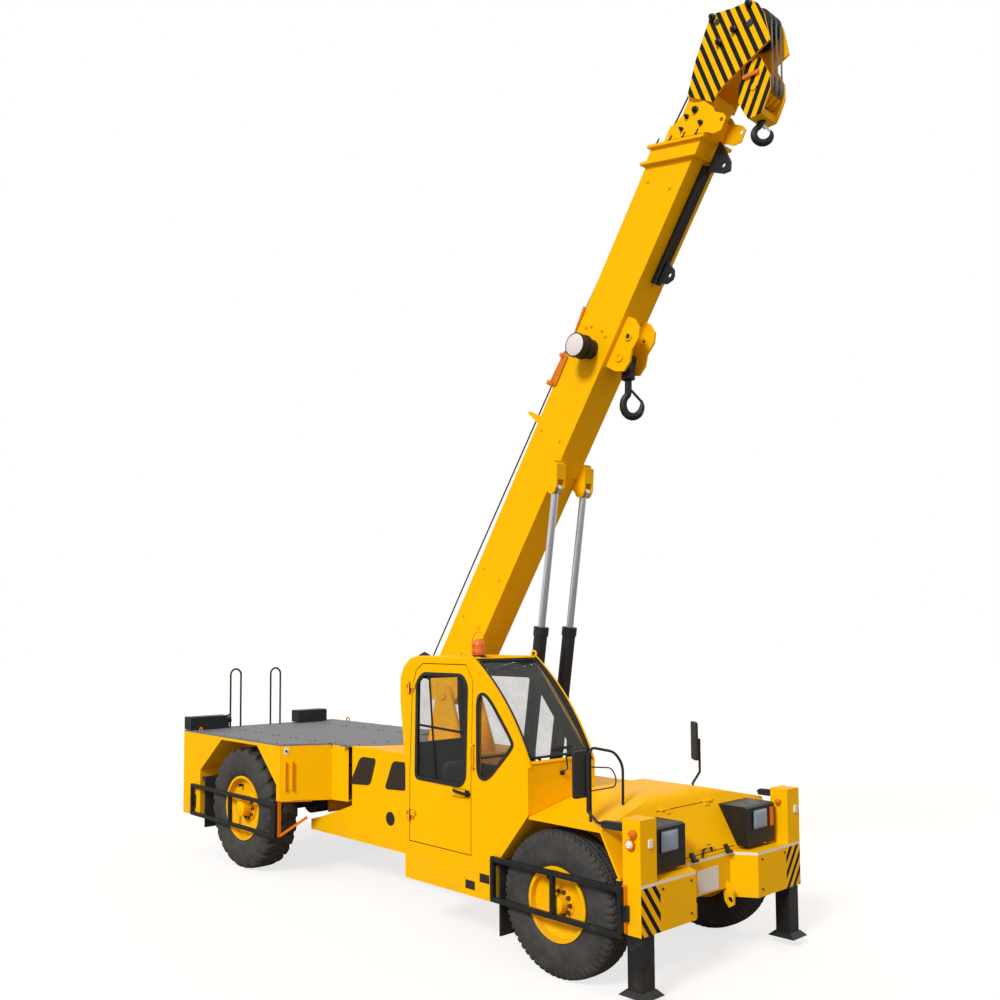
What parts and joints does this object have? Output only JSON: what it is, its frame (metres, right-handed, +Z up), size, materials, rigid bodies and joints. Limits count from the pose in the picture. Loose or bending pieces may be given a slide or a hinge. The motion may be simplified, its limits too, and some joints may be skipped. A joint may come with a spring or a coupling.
{
  "type": "articulated mobile crane",
  "caption": "Articulated pick-and-carry mobile crane with an offset cab, telescopic boom on twin lift cylinders, hook block, flat rear deck and front outriggers.",
  "frame": {"origin": "on the ground, under the middle of the part's length and width", "axes": "+X forward, +Y to the machine's left, +Z up"},
  "size_m": [8.2599, 2.66, 8.4105],
  "materials": {
    "yellow_paint": "gloss",
    "deck_paint": "matte",
    "black_paint": "satin",
    "dark_steel": "matte",
    "chrome_rod": "polished",
    "tyre_rubber": "matte",
    "flap_rubber": "matte",
    "glass": "gloss",
    "lamp_case": "gloss",
    "seat_cover": "matte",
    "trim_plastic": "matte",
    "amber": "gloss",
    "bright_steel": "satin"
  },
  "bodies": {
    "front_frame": {"front_chassis": "yellow_paint", "articulation_pins": "bright_steel", "bumper": "yellow_paint", "front_cowl": "yellow_paint", "headlamp_boxes": "lamp_case", "cab_shell": "yellow_paint", "cab_glass": "glass", "seat": "seat_cover", "steering_console": "trim_plastic", "front_axle": "dark_steel", "front_guards": "black_paint", "mudflaps_front": "flap_rubber", "mirrors": "trim_plastic", "side_tank": "yellow_paint", "beacon": "amber"},
    "rear_frame": {"rear_chassis": "yellow_paint", "rear_body": "yellow_paint", "rear_deck": "deck_paint", "deck_hoops": "black_paint", "tail_boxes": "black_paint", "engine_block": "dark_steel", "rear_axle": "dark_steel", "rear_guards": "black_paint", "mudflaps_rear": "flap_rubber"},
    "hood": {"hood_lid": "yellow_paint"},
    "door": {"cab_door": "yellow_paint", "door_glass": "glass"},
    "boom": {"boom_base": "yellow_paint", "boom_bar": "black_paint", "winch": "dark_steel", "cable_reel": "black_paint"},
    "boom_second": {"boom_mid": "yellow_paint"},
    "boom_third": {"boom_fly": "yellow_paint", "head_sheaves": "dark_steel"},
    "block": {"hook_block": "yellow_paint"},
    "block_hook": {"main_hook": "black_paint"},
    "base_hook": {"fixed_hook": "black_paint"},
    "outrigger_left": {"outrigger_leg_left": "black_paint"},
    "outrigger_right": {"outrigger_leg_right": "black_paint"},
    "lift_left": {"lift_barrel_left": "black_paint"},
    "ram_left": {"lift_rod_left": "chrome_rod"},
    "lift_right": {"lift_barrel_right": "black_paint"},
    "ram_right": {"lift_rod_right": "chrome_rod"},
    "wheel_front_left": {"rim_front_left": "yellow_paint", "tyre_front_left": "tyre_rubber"},
    "wheel_front_right": {"rim_front_right": "yellow_paint", "tyre_front_right": "tyre_rubber"},
    "wheel_rear_left": {"rim_rear_left": "yellow_paint", "tyre_rear_left": "tyre_rubber"},
    "wheel_rear_right": {"rim_rear_right": "yellow_paint", "tyre_rear_right": "tyre_rubber"}
  },
  "joints": [
    {"name": "articulation", "type": "hinge", "parent": "front_frame", "child": "rear_frame", "pos_m": [-1.522, 0, 0.9], "axis": [0, 0, 1], "range_deg": [-35, 35]},
    {"name": "wheel_front_left_spin", "type": "hinge", "parent": "front_frame", "child": "wheel_front_left", "pos_m": [2.578, 1.0775, 0.624], "axis": [0, 1, 0], "continuous": true},
    {"name": "wheel_rear_left_spin", "type": "hinge", "parent": "rear_frame", "child": "wheel_rear_left", "pos_m": [-2.642, 1.025, 0.745], "axis": [0, 1, 0], "continuous": true},
    {"name": "wheel_front_right_spin", "type": "hinge", "parent": "front_frame", "child": "wheel_front_right", "pos_m": [2.578, -1.0775, 0.624], "axis": [0, 1, 0], "continuous": true},
    {"name": "wheel_rear_right_spin", "type": "hinge", "parent": "rear_frame", "child": "wheel_rear_right", "pos_m": [-2.642, -1.025, 0.745], "axis": [0, 1, 0], "continuous": true},
    {"name": "hood_hinge", "type": "hinge", "parent": "front_frame", "child": "hood", "pos_m": [3.07244, 0, 1.37841], "axis": [0, -1, 0], "range_deg": [0, 60]},
    {"name": "door_hinge", "type": "hinge", "parent": "front_frame", "child": "door", "pos_m": [0.689, -1.2525, 1.75], "axis": [0, 0, -1], "range_deg": [0, 75]},
    {"name": "boom_lift", "type": "hinge", "parent": "front_frame", "child": "boom", "pos_m": [0.066, 0, 2.235], "axis": [0, -1, 0], "range_deg": [-49, 7]},
    {"name": "boom_extend_second", "type": "slide", "parent": "boom", "child": "boom_second", "axis": [0.5344, 0, 0.8453], "range_m": [0, 1.8]},
    {"name": "boom_extend_third", "type": "slide", "parent": "boom_second", "child": "boom_third", "axis": [0.5344, 0, 0.8453], "range_m": [0, 1.8]},
    {"name": "block_swing", "type": "hinge", "parent": "boom_third", "child": "block", "pos_m": [3.95403, 0, 8.15319], "axis": [0, -1, 0], "range_deg": [-5, 55]},
    {"name": "block_hook_swivel", "type": "hinge", "parent": "block", "child": "block_hook", "pos_m": [3.95403, 0, 7.4], "axis": [0, 0, 1], "continuous": true},
    {"name": "base_hook_swing", "type": "hinge", "parent": "boom", "child": "base_hook", "pos_m": [2.48858, 0, 5.55999], "axis": [0, -1, 0], "range_deg": [-5, 55]},
    {"name": "lift_left_swing", "type": "hinge", "parent": "front_frame", "child": "lift_left", "pos_m": [1.269, 0.217, 1.2], "axis": [0, -1, 0], "range_deg": [-42, 6.5]},
    {"name": "ram_left_slide", "type": "slide", "parent": "lift_left", "child": "ram_left", "axis": [0.1459, 0, 0.9893], "range_m": [-1.3, 0.2]},
    {"name": "lift_right_swing", "type": "hinge", "parent": "front_frame", "child": "lift_right", "pos_m": [1.269, -0.217, 1.2], "axis": [0, -1, 0], "range_deg": [-42, 6.5]},
    {"name": "ram_right_slide", "type": "slide", "parent": "lift_right", "child": "ram_right", "axis": [0.1459, 0, 0.9893], "range_m": [-1.3, 0.2]},
    {"name": "outrigger_left_slide", "type": "slide", "parent": "front_frame", "child": "outrigger_left", "axis": [0, 0, 1], "range_m": [-0.07, 0.36]},
    {"name": "outrigger_right_slide", "type": "slide", "parent": "front_frame", "child": "outrigger_right", "axis": [0, 0, 1], "range_m": [-0.07, 0.36]}
  ],
  "couplings": [
    {"joint": "lift_left_swing", "follows": "boom_lift", "ratio": 0.85},
    {"joint": "ram_left_slide", "follows": "boom_lift", "m_per_rad": 1.495},
    {"joint": "lift_right_swing", "follows": "boom_lift", "ratio": 0.85},
    {"joint": "ram_right_slide", "follows": "boom_lift", "m_per_rad": 1.495}
  ]
}
